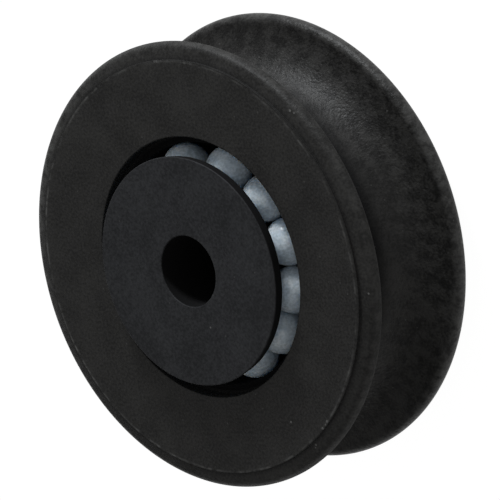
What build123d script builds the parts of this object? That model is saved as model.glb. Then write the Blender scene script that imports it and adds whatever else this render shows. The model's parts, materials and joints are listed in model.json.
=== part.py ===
from build123d import *
import os
from math import acos, asin, atan2, cos, degrees, hypot, pi, radians, sin

# A rope sheave that runs on two rows of loose balls, in millimetres.
# The Z axis is the axle's axis, and the origin is on it, in the middle plane of the rope groove.
# The face that the photograph shows looks to +Z, and the sheave lies on the far end of its hub.

# Wheel, outside
wheel_d = 60.0        # over the lips
wheel_w = 19.6        # over the flat faces
lip_w = 2.2           # flat face's edge to the outermost point of the lip, along the radius
lip_step = 0.25       # the lip starts this much behind the flat face
lip_r = 1.1           # rounding of each lip
lip_set = 1.55        # centre of that rounding behind the flat face
rim_wall = 4.2        # from the bore's mouth to the bottom of the rope groove

# Axle and hub
axle_d = 9.525        # a 3/8 inch axle bolt
axle_fit = 0.05       # running clearance on the diameter
sleeve_wall = 2.5     # the front half's tube, which carries the back half
press_gap = 0.01      # back half over the tube, on the radius
ring_wall = 2.5       # back half, at least this much between the tube and the race
hub_proud = 2.3       # hub face in front of the wheel's flat face
flange_edge = 1.6     # height of the flange's outer edge
flange_taper = 0.3    # how much that edge draws in towards the wheel
bore_chamfer = 0.15
edge_break = 0.15     # small rounding left on moulded corners

# Balls and races
ball_d = 6.35         # 1/4 inch balls
balls_in_row = 12
mean_gap = 0.427      # between neighbouring balls, with a row's free play shared out evenly
ball_gap = 0.06       # the least gap between two balls of a row
race_gap = 0.05       # ball to race, on the radius
row_inset = 3.9       # ball centres behind the wheel's flat face
ridge_gap = 0.95      # wheel's inner ridge clear of the hub
mouth_step = 1.2      # the bore's mouth is this much wider than the race, on the radius
mouth_depth = 2.2     # depth of that wider mouth
mouth_gap = 2.1       # hub flange to the mouth's wall

# Free play of a row, shared over the gaps after the first balls, as the photograph shows them.
# The gaps that it doesn't show share the rest evenly.
first_ball = 104.0    # angle of the front row's first ball from +X
shown_play = (0.29, 0.10, 0.0, 0.0, 0.0, 0.0)
back_turn = 15.0      # how far the back row stands from the front one

# Sizes that follow
wheel_r = wheel_d / 2
half_w = wheel_w / 2
hub_end = half_w + hub_proud
bore_r = (axle_d + axle_fit) / 2
sleeve_r = bore_r + sleeve_wall
ring_r = sleeve_r + press_gap
race_r = ball_d / 2 + race_gap
row_needs = (ball_d + mean_gap) / 2 / sin(pi / balls_in_row)
hub_needs = ring_r + ring_wall + race_r
pitch_r = max(row_needs, hub_needs)
core_r = pitch_r - race_r
row_z = half_w - row_inset
cup_r = pitch_r + race_r
mouth_r = cup_r + mouth_step
flange_r = mouth_r - mouth_gap
groove_depth = wheel_r - mouth_r - rim_wall


def at(r, z):
    """A point of a turned outline: r out from the axis, z along it."""
    return Vector(r, 0, z)


def arc(centre, radius, start, end):
    """An arc of a turned outline. Angles are in degrees, from the outward direction towards +Z."""
    angles = (radians(a) for a in (start, (start + end) / 2, end))
    return ThreePointArc(*(centre + at(radius * cos(a), radius * sin(a)) for a in angles))


def turned_face(*steps):
    """The closed outline through points and arcs, with straight lines between them, as a face."""
    starts = [step if isinstance(step, Vector) else step @ 0 for step in steps]
    ends = [step if isinstance(step, Vector) else step @ 1 for step in steps]
    edges = [step for step in steps if not isinstance(step, Vector)]
    nearly_zero = 1e-6
    for end, start in zip(ends, starts[1:] + starts[:1]):
        if (start - end).length > nearly_zero:
            edges.append(Line(end, start))
    return make_face(edges)


def tangent_angle(corner, centre, radius, side):
    """Where the straight line from a corner touches a circle: the angle seen from the centre."""
    reach = corner - centre
    half_angle = acos(radius / hypot(reach.X, reach.Z))
    return degrees(atan2(reach.Z, reach.X) + side * half_angle)


def wheel():
    """One moulded piece: rope groove outside, and a ridge with two ball races inside."""
    lip = at(wheel_r - lip_r, half_w - lip_set)
    ball = at(pitch_r, row_z)
    step_foot = at(wheel_r - lip_w, half_w - lip_step)
    slope_end = tangent_angle(step_foot, lip, lip_r, -1)

    # The groove's arc is tangent to both lips and leaves the stated wall under it.
    drop = groove_depth - lip_r
    groove_r = (drop ** 2 + lip.Z ** 2 - lip_r ** 2) / (2 * (drop + lip_r))
    groove = at(lip.X - drop + groove_r, 0)
    reach = lip - groove
    meeting = degrees(atan2(reach.Z, reach.X))

    half = turned_face(
        at(core_r + ridge_gap, 0),
        at(core_r + ridge_gap, row_z - race_r - edge_break),
        at(core_r + ridge_gap + edge_break, row_z - race_r),
        arc(ball, race_r, -90, 0),
        at(cup_r, half_w - mouth_depth - edge_break),
        at(cup_r + edge_break, half_w - mouth_depth),
        at(mouth_r, half_w - mouth_depth),
        at(mouth_r, half_w - edge_break),
        at(mouth_r + edge_break, half_w),
        at(wheel_r - lip_w, half_w),
        step_foot,
        arc(lip, lip_r, slope_end, meeting - 180),
        arc(groove, groove_r, meeting, 180),
    )
    return revolve(half + mirror(half, about=Plane.XY), Axis.Z)


def flange_steps():
    """The front flange of a hub half: end face, tapered edge, sloped underside and ball race."""
    ball = at(pitch_r, row_z)
    under_edge = at(flange_r - flange_taper, hub_end - flange_edge)
    return (
        at(bore_r, hub_end - bore_chamfer),
        at(bore_r + bore_chamfer, hub_end),
        at(flange_r - edge_break, hub_end),
        at(flange_r, hub_end - edge_break),
        under_edge,
        arc(ball, race_r, tangent_angle(under_edge, ball, race_r, 1), 180),
        at(core_r, 0),
    )


def hub_front():
    """The photographed half of the hub, with the tube that holds the axle from end to end."""
    section = turned_face(
        *flange_steps(),
        at(sleeve_r, 0),
        at(sleeve_r, edge_break - hub_end),
        at(sleeve_r - edge_break, -hub_end),
        at(bore_r + bore_chamfer, -hub_end),
        at(bore_r, bore_chamfer - hub_end),
    )
    return revolve(section, Axis.Z)


def hub_back():
    """The other half, a flanged ring pressed on the tube until it meets the front half."""
    outer = flange_steps()[2:]
    section = turned_face(at(ring_r, 0), at(ring_r, hub_end - edge_break),
                          at(ring_r + edge_break, hub_end), *outer)
    return revolve(mirror(section, about=Plane.XY), Axis.Z)


def ball_angles():
    """Angles of one row's balls from its first ball, with the free play shared over the gaps."""
    step = degrees(2 * asin((ball_d + ball_gap) / 2 / pitch_r))
    play = 360 - balls_in_row * step
    unseen_gaps = balls_in_row - len(shown_play)
    shares = list(shown_play) + [(1 - sum(shown_play)) / unseen_gaps] * unseen_gaps
    return [-(k * step + sum(shares[:k]) * play) for k in range(balls_in_row)]


def ball(angle, z):
    """One ball of a row."""
    a = radians(angle)
    return Pos(pitch_r * cos(a), pitch_r * sin(a), z) * Sphere(ball_d / 2)


def ball_rows():
    """Both rows, each ball by its node's name."""
    balls = {}
    for k, angle in enumerate(ball_angles(), start=1):
        balls[f"ball_front_{k:02d}"] = ball(first_ball + angle, row_z)
        balls[f"ball_back_{k:02d}"] = ball(first_ball + back_turn + angle, -row_z)
    return balls


os.makedirs("parts", exist_ok=True)
pieces = {"wheel": wheel(), "hub_front": hub_front(), "hub_back": hub_back(), **ball_rows()}
for name, piece in pieces.items():
    export_step(piece, f"parts/{name}.step")

contact = cos(pi / 4)
print(f"pitch radius {pitch_r:.3f}, row at z {row_z:.3f}, rope groove {groove_depth:.3f} deep")
print(f"bore mouth radius {mouth_r:.3f}, flange radius {flange_r:.3f}, bore radius {bore_r:.4f}")
print(f"row turns per wheel turn {(pitch_r + ball_d / 2 * contact) / (2 * pitch_r):.4f}")
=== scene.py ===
import json
import bmesh
import bpy
import numpy as np
from mathutils import Matrix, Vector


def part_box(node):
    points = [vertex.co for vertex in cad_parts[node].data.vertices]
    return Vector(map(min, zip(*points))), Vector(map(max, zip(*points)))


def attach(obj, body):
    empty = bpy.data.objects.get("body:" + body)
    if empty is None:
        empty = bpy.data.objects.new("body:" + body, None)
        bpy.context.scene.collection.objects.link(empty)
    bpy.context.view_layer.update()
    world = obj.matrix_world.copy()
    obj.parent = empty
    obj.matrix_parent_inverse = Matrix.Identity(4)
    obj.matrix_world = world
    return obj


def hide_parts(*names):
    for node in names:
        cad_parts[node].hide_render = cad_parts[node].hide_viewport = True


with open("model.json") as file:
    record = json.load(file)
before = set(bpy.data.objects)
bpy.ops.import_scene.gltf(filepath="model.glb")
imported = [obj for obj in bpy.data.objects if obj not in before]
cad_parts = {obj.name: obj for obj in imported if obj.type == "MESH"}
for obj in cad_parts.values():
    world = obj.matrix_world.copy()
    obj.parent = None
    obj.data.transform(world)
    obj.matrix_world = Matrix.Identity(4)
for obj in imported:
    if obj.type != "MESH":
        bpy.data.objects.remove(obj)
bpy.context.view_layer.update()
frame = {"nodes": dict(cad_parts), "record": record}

# Camera
# The photograph looks at the hub's face from in front and from one side, and is rolled so that
# the axle's axis runs down to the left. A long lens draws the far rim as large as the near one.
mm = 0.001
photo_width = 500                      # pixels
face_middle_px = (200.05, 267.33)      # middle of the wheel's front face in the photograph
face_edge_r = 27.8 * mm
pixel = face_edge_r / 212.67           # what one pixel covers at that face
azimuth, elevation, roll = np.radians((13.84, 44.57, 109.3))
lens_reach = 50                        # distance over the face's radius
distance = lens_reach * face_edge_r
wheel_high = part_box("wheel")[1]
half_w = wheel_high[2]

back = np.array((np.cos(elevation) * np.cos(azimuth), np.cos(elevation) * np.sin(azimuth),
                 np.sin(elevation)))
level = np.array((-np.sin(azimuth), np.cos(azimuth), 0))
upright = np.cross(back, level)
right = np.cos(roll) * level - np.sin(roll) * upright
up = np.sin(roll) * level + np.cos(roll) * upright
aim = (np.array((0, 0, half_w))
       + (photo_width / 2 - face_middle_px[0]) * pixel * right
       + (face_middle_px[1] - photo_width / 2) * pixel * up)

camera = bpy.data.objects.new("camera", bpy.data.cameras.new("camera"))
camera.data.lens = camera.data.sensor_width * distance / (photo_width * pixel)
camera.matrix_world = Matrix((*zip(right, up, back, aim + distance * back), (0, 0, 0, 1)))
bpy.context.scene.collection.objects.link(camera)
bpy.context.scene.camera = camera


# Hub, front half
# A moulded flange with half of the inner ball race under it, and the tube that holds the axle
# from end to end. It is black plastic with a smooth face, a little cooler than the wheel's.
ball_low, ball_high = (np.array(point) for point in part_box("ball_front_01"))
ball_r = (ball_high - ball_low)[0] / 2
pitch_r = np.hypot(*(ball_low + ball_high)[:2] / 2)
row_z = (ball_low + ball_high)[2] / 2
race_gap = 0.05 * mm
race_r = ball_r + race_gap
core_r = pitch_r - race_r
hub_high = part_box("hub_front")[1]
flange_r, hub_end = hub_high[0], hub_high[2]
flange_edge = 1.6 * mm                 # height of the flange's outer edge
flange_taper = 0.3 * mm                # how much that edge draws in below
bore = next(m for m in frame["record"]["mounts"] if m["name"] == "axle_bore")
bore_r = bore["dims"]["r_mm"] * mm
sleeve_wall = 2.5 * mm
sleeve_r = bore_r + sleeve_wall
edge_break = 0.15 * mm
outline_step = 0.55 * mm               # longest run between two points of the outline
corner_points = 6                      # on each rounded corner
corner_lead = 0.4                      # points beside a corner stand off this share of its radius
hub_segments = 360


def arc(r, z, radius, start, end, step=4):
    """Points of an arc: centre (r, z) plus radius times (cos a, sin a), a and step in degrees."""
    a = np.radians(np.linspace(start, end, int(max(2, abs(end - start) // step)) + 1))
    return np.stack((r + radius * np.cos(a), z + radius * np.sin(a)), axis=1)


def corner(before, at, after, radius=edge_break):
    """A rounded corner of an outline, with a point on each line just outside it.

    The arc's centre lies on the corner's bisector, radius / sin(half the corner's angle) away."""
    at = np.array(at, float)
    sides = np.array((before, after), float) - at
    sides /= np.linalg.norm(sides, axis=1)[:, None]
    half = np.arccos(sides[0] @ sides[1]) / 2
    middle = sides.sum(axis=0) / np.linalg.norm(sides.sum(axis=0))
    centre = at + middle * radius / np.sin(half)
    first, last = (at + side * radius / np.tan(half) - centre for side in sides)
    turn = np.pi - 2 * half
    share = np.linspace(0, 1, corner_points)[:, None]
    swept = (np.sin((1 - share) * turn) * first + np.sin(share * turn) * last) / np.sin(turn)
    outside = at + sides * (radius / np.tan(half) + corner_lead * radius)
    return np.concatenate((outside[:1], centre + swept, outside[1:]))


def touch(point, centre, radius, side):
    """Angle in degrees, seen from a circle's centre, where a line through the point touches it."""
    reach = np.subtract(point, centre)
    return np.degrees(np.arctan2(reach[1], reach[0]) + side * np.arccos(radius / np.hypot(*reach)))


def spaced(outline, step=outline_step):
    """The outline with its long runs cut into equal parts no longer than the step."""
    ends = np.roll(outline, -1, axis=0)
    parts = np.ceil(np.hypot(*(ends - outline).T) / step).astype(int)
    run = np.repeat(np.arange(len(outline)), parts)
    share = (np.arange(len(run)) - np.repeat(np.cumsum(parts) - parts, parts)) / parts[run]
    return outline[run] + share[:, None] * (ends - outline)[run]


def mirrored(outline):
    """The same outline on the other side of the middle plane, still clockwise."""
    return outline[::-1] * (1, -1)


def mesh_piece(name, points, quads, material, tags=None):
    """A smooth piece from an array of points and an array of quads, with a tag value at each point."""
    mesh = bpy.data.meshes.new(name)
    mesh.vertices.add(len(points))
    mesh.vertices.foreach_set("co", points.ravel())
    mesh.loops.add(quads.size)
    mesh.loops.foreach_set("vertex_index", quads.ravel())
    mesh.polygons.add(len(quads))
    mesh.polygons.foreach_set("loop_start", np.arange(0, quads.size, 4))
    mesh.polygons.foreach_set("use_smooth", np.ones(len(quads), bool))
    for tag, values in (tags or {}).items():
        mesh.attributes.new(tag, "FLOAT", "POINT").data.foreach_set("value", values.ravel())
    mesh.update(calc_edges=True)
    mesh.materials.append(material)
    piece = bpy.data.objects.new(name, mesh)
    bpy.context.scene.collection.objects.link(piece)
    return piece


def turned(name, outline, segments, material, relief=None, tags=None):
    """A closed outline turned about the axle's axis, clockwise with r to the right and z up.

    The point (r, z) goes to (r cos t, r sin t, z) at evenly spaced angles t. Relief and tags are
    functions of r, z and t: relief lifts the surface along the outline's normal, (-dz, dr)."""
    t = np.linspace(0, 2 * np.pi, segments, endpoint=False)[None, :]
    r, z = outline[:, :1] + 0 * t, outline[:, 1:] + 0 * t
    values = {tag: rule(r, z, t).astype(np.float32) for tag, rule in (tags or {}).items()}
    if relief:
        along = np.roll(outline, -1, axis=0) - np.roll(outline, 1, axis=0)
        along /= np.hypot(*along.T)[:, None]
        lift = relief(r, z, t)
        r, z = r - lift * along[:, 1:], z + lift * along[:, :1]
    points = np.stack((r * np.cos(t), r * np.sin(t), z), axis=-1).reshape(-1, 3)
    at = np.arange(r.size).reshape(r.shape)
    after, beside = np.roll(at, -1, axis=0), np.roll(at, -1, axis=1)
    quads = np.stack((at, after, np.roll(after, -1, axis=1), beside), axis=-1).reshape(-1, 4)
    return mesh_piece(name, points, quads, material, values)


def add(tree, kind, inputs, **settings):
    """A shader node with its settings, and its inputs set to values or joined to other outputs."""
    node = tree.nodes.new("ShaderNode" + kind)
    for name, value in settings.items():
        setattr(node, name, value)
    for name, value in inputs.items():
        if isinstance(value, bpy.types.NodeSocket):
            tree.links.new(value, node.inputs[name])
        else:
            node.inputs[name].default_value = value
    return node


def noise(tree, place, size, detail):
    """Noise of about the given size in metres, from 0 to 1, on the object's own coordinates."""
    return add(tree, "TexNoise", {"Vector": place, "Scale": 1 / size, "Detail": detail}).outputs[0]


def steered(tree, value, low, high, to_low, to_high):
    """A value between low and high carried over to the range from to_low to to_high."""
    return add(tree, "MapRange", {"Value": value, "From Min": low, "From Max": high,
                                  "To Min": to_low, "To Max": to_high}).outputs[0]


def times_plus(tree, value, factor, plus):
    """The value times the factor, plus a third value."""
    return add(tree, "Math", {0: value, 1: factor, 2: plus}, operation="MULTIPLY_ADD").outputs[0]


def mixed(tree, factor, first, second):
    """A colour between two colours."""
    mix = add(tree, "Mix", {}, data_type="RGBA")
    for socket, value in ((mix.inputs[0], factor), (mix.inputs[6], first), (mix.inputs[7], second)):
        if isinstance(value, bpy.types.NodeSocket):
            tree.links.new(value, socket)
        else:
            socket.default_value = value
    return mix.outputs[2]


def pale_marks(tree, place, marks):
    """1 on small ragged marks and on sparse dust, 0 elsewhere. Each mark is a point and a radius.

    A mark is where the distance to its point is under its radius, after noise has moved the point
    looked at by up to ragged. Dust is the same around the scattered points of a Voronoi pattern."""
    stir = add(tree, "TexNoise", {"Vector": place, "Scale": 1 / stir_size, "Detail": 1.0}).outputs[1]
    moved = add(tree, "VectorMath", {0: stir, 1: (ragged, ragged, ragged), 2: place},
                operation="MULTIPLY_ADD").outputs[0]
    apart = add(tree, "TexVoronoi", {"Vector": moved, "Scale": 1 / dust_apart}).outputs["Distance"]
    shown = steered(tree, apart, 0.6 * dust_r / dust_apart, dust_r / dust_apart, dust_tone, 0)
    for point, radius in marks:
        middle = tuple(np.array(point) + ragged / 2)
        away = add(tree, "VectorMath", {0: moved, 1: middle}, operation="DISTANCE").outputs["Value"]
        mark = steered(tree, away, 0.5 * radius, radius, 1, 0)
        shown = add(tree, "Math", {0: shown, 1: mark}, operation="MAXIMUM").outputs[0]
    return shown


def black_plastic(name, dark, light, shine, grain_depth, marks):
    """Black plastic: mottled colour between dark and light, fine grain in the bump and the gloss.

    Four tags of a point change it: the first takes the colour to pale_black in a broken line, which is
    wear on the burr and a painted highlight on the lips' crests, coarse adds cloudy patches and a
    second, coarser grain, rubbed takes the gloss off, and the last is painted shade, which makes it
    deep black and matt where shade falls."""
    material = bpy.data.materials.new(name)
    material.use_nodes = True
    tree = material.node_tree
    place = add(tree, "TexCoord", {}).outputs["Object"]
    wear_and_highlight, coarse, rubbed, painted_shade = (add(tree, "Attribute", {}, attribute_name=tag).outputs["Fac"]
                                    for tag in ("wear_and_highlight", "coarse", "rubbed", "painted_shade"))
    cloud = noise(tree, place, cloud_size, 5)
    grain = noise(tree, place, grain_size, 3)
    speckle = noise(tree, place, speckle_size, 2)
    patches = steered(tree, noise(tree, place, patch_size, 6), 0, 1, -patch_depth, patch_depth)
    clouded = times_plus(tree, cloud, cloud_share, speckle)
    mottle = times_plus(tree, coarse, patches, clouded)
    plain = mixed(tree, steered(tree, mottle, 0.60, 1.00, 0, 1), (*dark, 1), (*light, 1))
    broken = steered(tree, noise(tree, place, break_size, 3), 0.40, 0.62, 0.1, 1)
    # Wear on the burr line, partly a painted highlight, and a painted highlight on the lips' crests.
    worn_and_lit = add(tree, "Math", {0: wear_and_highlight, 1: broken}, operation="MULTIPLY").outputs[0]
    spots = pale_marks(tree, place, marks)
    pale = add(tree, "Math", {0: worn_and_lit, 1: spots}, operation="MAXIMUM").outputs[0]
    # Painted shade: the last tag takes the colour to near black in the bore, the races, the face's
    # steps and the groove's bottom, where shade falls.
    colour = mixed(tree, painted_shade, mixed(tree, pale, plain, (*pale_black, 1)), (*painted_shade_black, 1))
    grainy = steered(tree, grain, 0.25, 0.75, *shine)
    dull = add(tree, "Mix", {"Factor": rubbed, "A": grainy, "B": rubbed_shine}).outputs[0]
    gloss = add(tree, "Mix", {"Factor": painted_shade, "A": dull, "B": painted_shade_shine}).outputs[0]
    fine = add(tree, "Bump", {"Height": grain, "Strength": 1.0, "Distance": grain_depth}).outputs[0]
    pits = noise(tree, place, pit_size, 4)
    depth = steered(tree, coarse, 0, 1, 0, coarse_depth)
    bump = add(tree, "Bump", {"Height": pits, "Strength": 1.0, "Distance": depth, "Normal": fine})
    surface = tree.nodes["Principled BSDF"]
    surface.inputs["Specular IOR Level"].default_value = 0.2
    tree.links.new(colour, surface.inputs["Base Color"])
    tree.links.new(gloss, surface.inputs["Roughness"])
    tree.links.new(bump.outputs[0], surface.inputs["Normal"])
    return material


pale_black = (0.110, 0.110, 0.106)
# Painted shade: the near-black colour and the roughness of the surfaces where shade falls.
painted_shade_black = (0.0015, 0.0015, 0.0018)
painted_shade_shine = 0.95                    # roughness of the dark insides
rubbed_shine = 0.90                    # roughness where the rope has rubbed
cloud_size = 5 * mm
cloud_share = 0.6
speckle_size = 0.35 * mm
patch_size = 1.8 * mm
patch_depth = 0.7
grain_size = 0.25 * mm
pit_size = 0.50 * mm
coarse_depth = 0.10 * mm
break_size = 0.9 * mm                  # of the breaks in a worn line
stir_size = 0.2 * mm
ragged = 0.12 * mm
dust_apart = 2.6 * mm
dust_r = 0.14 * mm
dust_tone = 0.35
hub_marks = (((2.34 * mm, -7.52 * mm, hub_end), 0.17 * mm),)
hub_plastic = black_plastic("hub_plastic", (0.0108, 0.0115, 0.0130), (0.0285, 0.0296, 0.0322),
                            (0.45, 0.60), 0.012 * mm, hub_marks)


def flange_outline(inner_r):
    """The flanged half from (inner_r, 0) up, over the hub's face and back in to the race."""
    face, edge = (inner_r, hub_end), (flange_r, hub_end)
    under = (flange_r - flange_taper, hub_end - flange_edge)
    touching = touch(under, (pitch_r, row_z), race_r, 1)
    race = arc(pitch_r, row_z, race_r, touching, 180)
    return np.concatenate((corner((inner_r, 0), face, edge), corner(face, edge, under),
                           corner(edge, under, race[0]), race, [(core_r, 0)]))


def hub_painted_shade(r, z, t):
    """Painted shade: 1 in the bore, on the flange's edge and in the race, where shade falls, and 0 on
    the hub's end faces.
    """
    return np.clip((hub_end - np.abs(z)) / (0.2 * mm), 0, 1)


front_outline = np.concatenate((flange_outline(bore_r), [(sleeve_r, 0)],
                                corner((sleeve_r, 0), (sleeve_r, -hub_end), (bore_r, -hub_end)),
                                corner((sleeve_r, -hub_end), (bore_r, -hub_end), (bore_r, 0))))
# Painted shade in the bore, on the flange's edge and in the race.
hub_front = turned("hub_front_finished", spaced(front_outline), hub_segments, hub_plastic,
                   tags={"painted_shade": hub_painted_shade})
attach(hub_front, "hub")
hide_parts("hub_front")


# Wheel
# One moulding in black plastic: the rope groove outside, and a ridge with two ball races inside.
# Its finish is matt and grainy, and a fine burr stands along the edge of each flat face.
wheel_r = wheel_high[0]
lip_r = 1.1 * mm
lip_set = 1.55 * mm                    # centre of the lip's rounding behind the flat face
lip = np.array((wheel_r - lip_r, half_w - lip_set))
lip_step = 0.25 * mm
cup_r = pitch_r + race_r
mouth_step = 1.2 * mm                  # the bore's mouth is this much wider than the race
mouth_r = cup_r + mouth_step
mouth_depth = 2.2 * mm
mouth_floor = half_w - mouth_depth
rim_wall = 4.2 * mm                    # between the bore's mouth and the groove's bottom
groove_bottom = mouth_r + rim_wall
ridge_gap = 0.95 * mm
ridge_r = core_r + ridge_gap
face_corner = 0.035 * mm               # rounding at the flat face's edge
foot_corner = 0.06 * mm                # rounding at the foot of the step there
wheel_segments = 360
wheel_step = 0.9 * mm
wheel_turn = 6                         # degrees between points of an arc of the wheel
burr_height = 0.025 * mm
burr_width = 0.12 * mm
burr_side = np.radians(15)             # where the burr runs furthest inside the edge
burr_from, burr_to = 0.86 * mm, 0.06 * mm   # close rows of points for it, inside the edge
burr_row = 0.08 * mm
# The lips' pale crests are a painted highlight, palest at these angles and reaching this far down.
front_side = np.radians(165)           # where the front lip is palest
front_reach = 2.1 * mm                 # how far down from its crest
back_side = np.radians(-20)            # the same of the back lip
back_reach = 1.0 * mm
# Painted shade: a black line along the groove's bottom, where the front lip shades it, and a dark line
# at each face's step, where the step shades it.
groove_shade_width = 2.4 * mm                  # of the black line in the groove's bottom
step_shade_width = 0.2 * mm

drop = lip[0] - groove_bottom
groove_r = (drop ** 2 + lip[1] ** 2 - lip_r ** 2) / (2 * (drop + lip_r))
groove_middle = groove_bottom + groove_r
meeting = np.degrees(np.arctan2(lip[1], lip[0] - groove_middle))
face_edge = (face_edge_r, half_w)
race_start = (pitch_r, row_z - race_r)
step_foot = (face_edge_r, half_w - lip_step)
slope_end = touch(step_foot, lip, lip_r, -1)
lip_arc = arc(*lip, lip_r, slope_end, meeting - 180, wheel_turn)
near_edge = np.arange(face_edge_r - burr_from, face_edge_r - burr_to, burr_row)[:, None]

wheel_half = np.concatenate((
    corner((ridge_r, 0), (ridge_r, row_z - race_r), race_start),
    arc(pitch_r, row_z, race_r, -90, 0, wheel_turn),
    corner((cup_r, row_z), (cup_r, mouth_floor), (mouth_r, mouth_floor)),
    [(mouth_r, mouth_floor)],
    corner((mouth_r, mouth_floor), (mouth_r, half_w), face_edge),
    np.concatenate((near_edge, half_w + 0 * near_edge), axis=1),
    corner((mouth_r, half_w), face_edge, step_foot, face_corner),
    corner(face_edge, step_foot, lip_arc[0], foot_corner),
    lip_arc,
    arc(groove_middle, 0, groove_r, meeting, 180)[1:],
))
wheel_outline = spaced(np.concatenate((wheel_half, mirrored(wheel_half)[1:])), wheel_step)


def from_burr(r, z, t):
    """How far a point is from the burr, whose line runs 0.15 to 0.6 mm inside the face's edge."""
    inset = (0.15 + 0.45 * np.clip(np.cos(t - burr_side), 0, 1) ** 2) * mm
    return np.hypot(r - face_edge_r + inset, np.abs(z) - half_w)


def edge_burr(r, z, t):
    """A bead along the burr: burr_height times exp(-(distance / burr_width)^2), uneven in t."""
    away = from_burr(r, z, t)
    uneven = 0.5 + 0.3 * np.sin(23 * t + 2 * np.sin(3 * t)) + 0.25 * np.sin(61 * t + 2 * np.sin(7 * t))
    return burr_height * np.clip(uneven, 0, 1) * np.exp(-(away / burr_width) ** 2)


def wear_and_highlight(r, z, t):
    """How pale the plastic is: about 0.5 on the burr, uneven in t, and a little beside it. The burr's
    line is wear and partly a painted highlight.

    Each lip's crest is pale too, a painted highlight, the front one most at front_side and the back
    one at back_side."""
    away = from_burr(r, z, t)
    line = (0.50 - 0.25 * np.cos(t - burr_side) + 0.2 * np.sin(9 * t + 1)
            + 0.2 * np.sin(31 * t + 2 * np.sin(5 * t)))
    border = 0.05 * np.exp(-(away / (0.9 * mm)) ** 2) * (np.abs(z) > half_w - 0.01 * mm)
    # Painted highlight: each lip's crest is made pale where it catches the light.
    front_lip = 0.05 + 0.90 * np.exp(-4 * (1 - np.cos(t - front_side)))
    back_lip = 0.24 + 0.22 * np.exp(-4 * (1 - np.cos(t - back_side)))
    reach = np.where(z < 0, back_reach, front_reach)
    crest = np.where(z < 0, back_lip, front_lip) * np.clip(1 - (wheel_r - r) / reach, 0, 1)
    return line * np.exp(-(away / (0.14 * mm)) ** 2) + border + crest


def coarse_share(r, z, t):
    """1 in the rope groove and on the lips, 0 on the flat faces and in the bore."""
    return (r > mouth_r) * np.clip((half_w - lip_step - np.abs(z)) / mm, 0, 1)


def rubbed_share(r, z, t):
    """1 just inside the front lip, where the rope has rubbed it matt, down to 0 some 2 mm away."""
    return (r > mouth_r) * np.exp(-((z - lip[1] + 0.4 * mm) / (0.9 * mm)) ** 2)


def painted_shade_share(r, z, t):
    """Painted shade: 1 in the bore, on its races and at the groove's bottom, 0.6 on each face's step,
    else 0.
    """
    in_bore = np.clip((mouth_r + 0.05 * mm - r) / (0.1 * mm), 0, 1)
    from_step = np.hypot(r - face_edge_r, np.abs(z) - half_w + 0.15 * mm)
    at_bottom = np.exp(-(z / groove_shade_width) ** 2) * (r > mouth_r)
    return np.maximum(in_bore, 0.6 * np.exp(-(from_step / step_shade_width) ** 2) + at_bottom)


def on_wheel(degrees, r, z):
    """The point at an angle from +X, a distance from the axis and a height, in metres."""
    return r * np.cos(np.radians(degrees)), r * np.sin(np.radians(degrees)), z


lip_top = lip[1] + lip_r
wheel_marks = (
    (on_wheel(93.4, 27.7 * mm, half_w), 0.24 * mm),
    (on_wheel(94.2, 27.7 * mm, half_w), 0.20 * mm),
    (on_wheel(311.6, 27.5 * mm, half_w), 0.26 * mm),
    (on_wheel(310.4, 27.6 * mm, half_w), 0.18 * mm),
    (on_wheel(308.8, 27.6 * mm, half_w), 0.24 * mm),
    (on_wheel(302.6, 28.3 * mm, half_w - 0.35 * mm), 0.20 * mm),
    (on_wheel(301.9, 28.5 * mm, lip_top), 0.16 * mm),
    (on_wheel(271.0, 27.9 * mm, half_w - 0.1 * mm), 0.18 * mm),
    (on_wheel(45.5, lip[0] + 0.2 * mm, lip_top), 0.22 * mm),
    (on_wheel(44.2, lip[0] + 0.4 * mm, lip_top), 0.16 * mm),
    (on_wheel(353.0, lip[0] + 0.3 * mm, lip_top), 0.18 * mm),
    (on_wheel(299.6, 23.83 * mm, half_w), 0.20 * mm),
    (on_wheel(4.0, groove_bottom, 0.6 * mm), 0.18 * mm),
    (on_wheel(0.5, groove_bottom, -0.8 * mm), 0.16 * mm),
)
wheel_plastic = black_plastic("wheel_plastic", (0.0092, 0.0090, 0.0086), (0.0276, 0.0270, 0.0257),
                              (0.38, 0.54), 0.022 * mm, wheel_marks)
# The wheel's tags paint shade in the bore, on the steps and along the groove's bottom, and a highlight
# on the lips' crests.
wheel = turned("wheel_finished", wheel_outline, wheel_segments, wheel_plastic, edge_burr,
               {"wear_and_highlight": wear_and_highlight, "coarse": coarse_share, "rubbed": rubbed_share, "painted_shade": painted_shade_share})
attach(wheel, "wheel")
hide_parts("wheel")


# Balls
# Two rows of twelve loose plastic balls, milky and faintly blue. Each was moulded in two halves
# and tumbled, which left a faint line round it, and the balls lie turned every way.
ball_bands = 32
seam_height = 0.006 * mm
seam_width = np.radians(2.5)


def ball_shell():
    """Points and quads of a unit ball: (cos b cos a, cos b sin a, sin b) on a grid of a and b.

    The seam lifts the middle by seam_height * exp(-(b / seam_width)^2). Each pole is a ring of
    points in one place, until close_poles joins them."""
    b = np.linspace(-np.pi / 2, np.pi / 2, ball_bands + 1)[:, None]
    a = np.linspace(0, 2 * np.pi, 2 * ball_bands, endpoint=False)[None, :]
    size = 1 + seam_height / ball_r * np.exp(-(b / seam_width) ** 2)
    ring = size * np.cos(b)
    shell = np.stack((ring * np.cos(a), ring * np.sin(a), size * np.sin(b) + 0 * a), axis=-1)
    at = np.arange(shell[..., 0].size).reshape(shell.shape[:2])
    beside = np.roll(at, -1, axis=1)
    quads = np.stack((at[:-1], beside[:-1], beside[1:], at[1:]), axis=-1).reshape(-1, 4)
    return shell.reshape(-1, 3), quads


def close_poles(mesh):
    """Joins the points that lie in one place, which makes each pole a single point."""
    joined = bmesh.new()
    joined.from_mesh(mesh)
    bmesh.ops.remove_doubles(joined, verts=joined.verts, dist=0.001 * mm)
    joined.to_mesh(mesh)
    joined.free()


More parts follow.
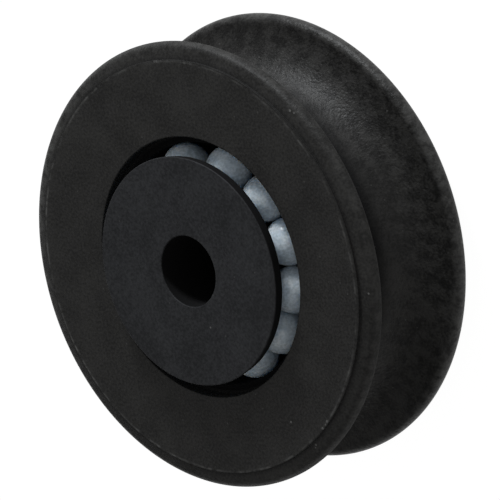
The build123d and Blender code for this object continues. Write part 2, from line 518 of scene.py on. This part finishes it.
def any_turn(draws):
    """A rotation drawn evenly from all rotations, from a quaternion of four normal draws."""
    w, x, y, z = draws / np.linalg.norm(draws)
    return np.array(((1 - 2 * (y * y + z * z), 2 * (x * y - w * z), 2 * (x * z + w * y)),
                     (2 * (x * y + w * z), 1 - 2 * (x * x + z * z), 2 * (y * z - w * x)),
                     (2 * (x * z - w * y), 2 * (y * z + w * x), 1 - 2 * (x * x + y * y))))


def milky_plastic(name):
    """Milky plastic that lets light in: cloudy white with a blue cast, and a satin surface."""
    material = bpy.data.materials.new(name)
    material.use_nodes = True
    tree = material.node_tree
    place = add(tree, "TexCoord", {}).outputs["Object"]
    cloud = noise(tree, place, milk_cloud_size, 4)
    haze = noise(tree, place, milk_haze_size, 3)
    milk = add(tree, "Math", {0: cloud, 1: haze}, operation="ADD").outputs[0]
    colour = mixed(tree, steered(tree, milk, 0.75, 1.25, 0, 1), (*milk_dark, 1), (*milk_light, 1))
    surface = tree.nodes["Principled BSDF"]
    surface.inputs["Subsurface Weight"].default_value = 1.0
    surface.inputs["Subsurface Radius"].default_value = (1.0, 1.1, 1.2)
    surface.inputs["Subsurface Scale"].default_value = milk_depth
    surface.inputs["Specular IOR Level"].default_value = 0.3
    tree.links.new(colour, surface.inputs["Base Color"])
    tree.links.new(steered(tree, haze, 0.3, 0.7, 0.18, 0.34), surface.inputs["Roughness"])
    return material


milk_dark = (0.44, 0.53, 0.61)
milk_light = (0.72, 0.82, 0.93)
milk_cloud_size = 1.3 * mm
milk_haze_size = 0.35 * mm
milk_depth = 3.0 * mm                  # how far light gets into a ball
ball_plastic = milky_plastic("ball_plastic")
shell_points, shell_quads = ball_shell()
draws = np.random.default_rng(12)
for node in sorted(frame["nodes"]):
    if not node.startswith("ball_"):
        continue
    low, high = (np.array(point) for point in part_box(node))
    points = (low + high) / 2 + ball_r * shell_points @ any_turn(draws.normal(size=4)).T
    ball = mesh_piece(node + "_finished", points, shell_quads, ball_plastic)
    close_poles(ball.data)
    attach(ball, "balls_front" if "front" in node else "balls_back")
    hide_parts(node)


# Hub, back half
# A flanged ring of the same plastic, pressed on the front half's tube until the two halves meet.
# It closes the back race and leaves the tube's end flush with its face.
press_gap = 0.01 * mm
ring_r = sleeve_r + press_gap
ring_outline = np.concatenate((flange_outline(ring_r), [(ring_r, 0)]))
# The same painted shade in the back half's bore, flange edge and race.
hub_back = turned("hub_back_finished", spaced(mirrored(ring_outline)), hub_segments, hub_plastic,
                  tags={"painted_shade": hub_painted_shade})
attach(hub_back, "hub")
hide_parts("hub_back")


# Floor and light
# A white floor under the hub's back face, and one soft lamp low over the photograph's upper side.
# The surroundings are grey, brighter along X and overhead, and white at the camera's horizon.
floor_r = 3.0                          # metres
floor_grey = 0.6
floor_white = 1.15                     # what the camera sees of it is this bright
floor_glow = 0.85                      # and makes up this share of what it sees
contact_shade = 3 * mm                 # on both sides of the flange's edge the white fades in
key_distance = 0.32
key_place = np.array((-0.03, 0.961, 0.275)) * key_distance
key_size = 0.06                        # metres across
key_power = 0.9                        # watts
key_colour = (0.94, 0.97, 1.0)


def glossy_or_camera(tree):
    """1 for what the camera sees, also in a reflection or through glass, and 0 for other rays."""
    path = add(tree, "LightPath", {}).outputs
    seen = path["Is Camera Ray"]
    for ray in ("Is Glossy Ray", "Is Transmission Ray"):
        seen = add(tree, "Math", {0: seen, 1: path[ray]}, operation="MAXIMUM").outputs[0]
    return seen


floor_mesh = bpy.data.meshes.new("floor")
turn = np.linspace(0, 2 * np.pi, 96, endpoint=False)
rim = np.stack((floor_r * np.cos(turn), floor_r * np.sin(turn), 0 * turn - hub_end), axis=-1)
floor_mesh.from_pydata(rim.tolist(), [], [list(range(len(rim)))])
floor = bpy.data.objects.new("floor", floor_mesh)
bpy.context.scene.collection.objects.link(floor)
floor_paint = bpy.data.materials.new("floor_paint")
floor_paint.use_nodes = True
tree = floor_paint.node_tree
tree.nodes.clear()
place = add(tree, "TexCoord", {}).outputs["Object"]
foot = (0, 0, -hub_end)
from_foot = add(tree, "VectorMath", {0: place, 1: foot}, operation="DISTANCE").outputs["Value"]
open_floor = steered(tree, from_foot, flange_r - contact_shade, flange_r + contact_shade, 0, floor_glow)
seen = add(tree, "Math", {0: glossy_or_camera(tree), 1: open_floor}, operation="MULTIPLY")
matt = add(tree, "BsdfDiffuse", {"Color": (floor_grey, floor_grey, floor_grey, 1)})
glow = add(tree, "Emission", {"Color": (1, 1, 1, 1), "Strength": floor_white})
blend = add(tree, "MixShader", {0: seen.outputs[0], 1: matt.outputs[0], 2: glow.outputs[0]})
add(tree, "OutputMaterial", {"Surface": blend.outputs[0]})
floor_mesh.materials.append(floor_paint)

key = bpy.data.objects.new("key", bpy.data.lights.new("key", "AREA"))
key.data.shape = "DISK"
key.data.size = key_size
key.data.energy = key_power
key.data.color = key_colour
toward = key_place / np.linalg.norm(key_place)
across = np.cross((0, 0, 1), toward)
across /= np.linalg.norm(across)
key.matrix_world = Matrix((*zip(across, np.cross(toward, across), toward, key_place), (0, 0, 0, 1)))
bpy.context.scene.collection.objects.link(key)

world = bpy.data.worlds.new("surroundings")
bpy.context.scene.world = world
world.use_nodes = True
tree = world.node_tree
toward_xyz = add(tree, "SeparateXYZ", {"Vector": add(tree, "TexCoord", {}).outputs["Generated"]})
x, y, z = (toward_xyz.outputs[name] for name in "XYZ")
# The strength is 0.09 + 0.14 x + 0.24 x^2 + 0.075 y + z^2 (0.35 + 0.80 x^2).
lengthways = times_plus(tree, x, times_plus(tree, x, 0.24, 0.14), times_plus(tree, y, 0.075, 0.09))
x_squared = times_plus(tree, x, x, 0)
z_squared = times_plus(tree, z, z, 0)
shaded = times_plus(tree, z_squared, times_plus(tree, x_squared, 0.80, 0.35), lengthways)
steepness = add(tree, "Math", {0: z}, operation="ABSOLUTE").outputs[0]
near_horizon = steered(tree, steepness, 0.03, 0.10, 1, 0)
seen = glossy_or_camera(tree)
whitened = add(tree, "Math", {0: seen, 1: near_horizon}, operation="MULTIPLY").outputs[0]
strength = add(tree, "Mix", {"Factor": whitened, "A": shaded, "B": 1.0}).outputs[0]
tree.links.new(strength, tree.nodes["Background"].inputs["Strength"])
tree.nodes["Background"].inputs["Color"].default_value = (1, 1, 1, 1)

bpy.context.scene.view_settings.view_transform = "Standard"
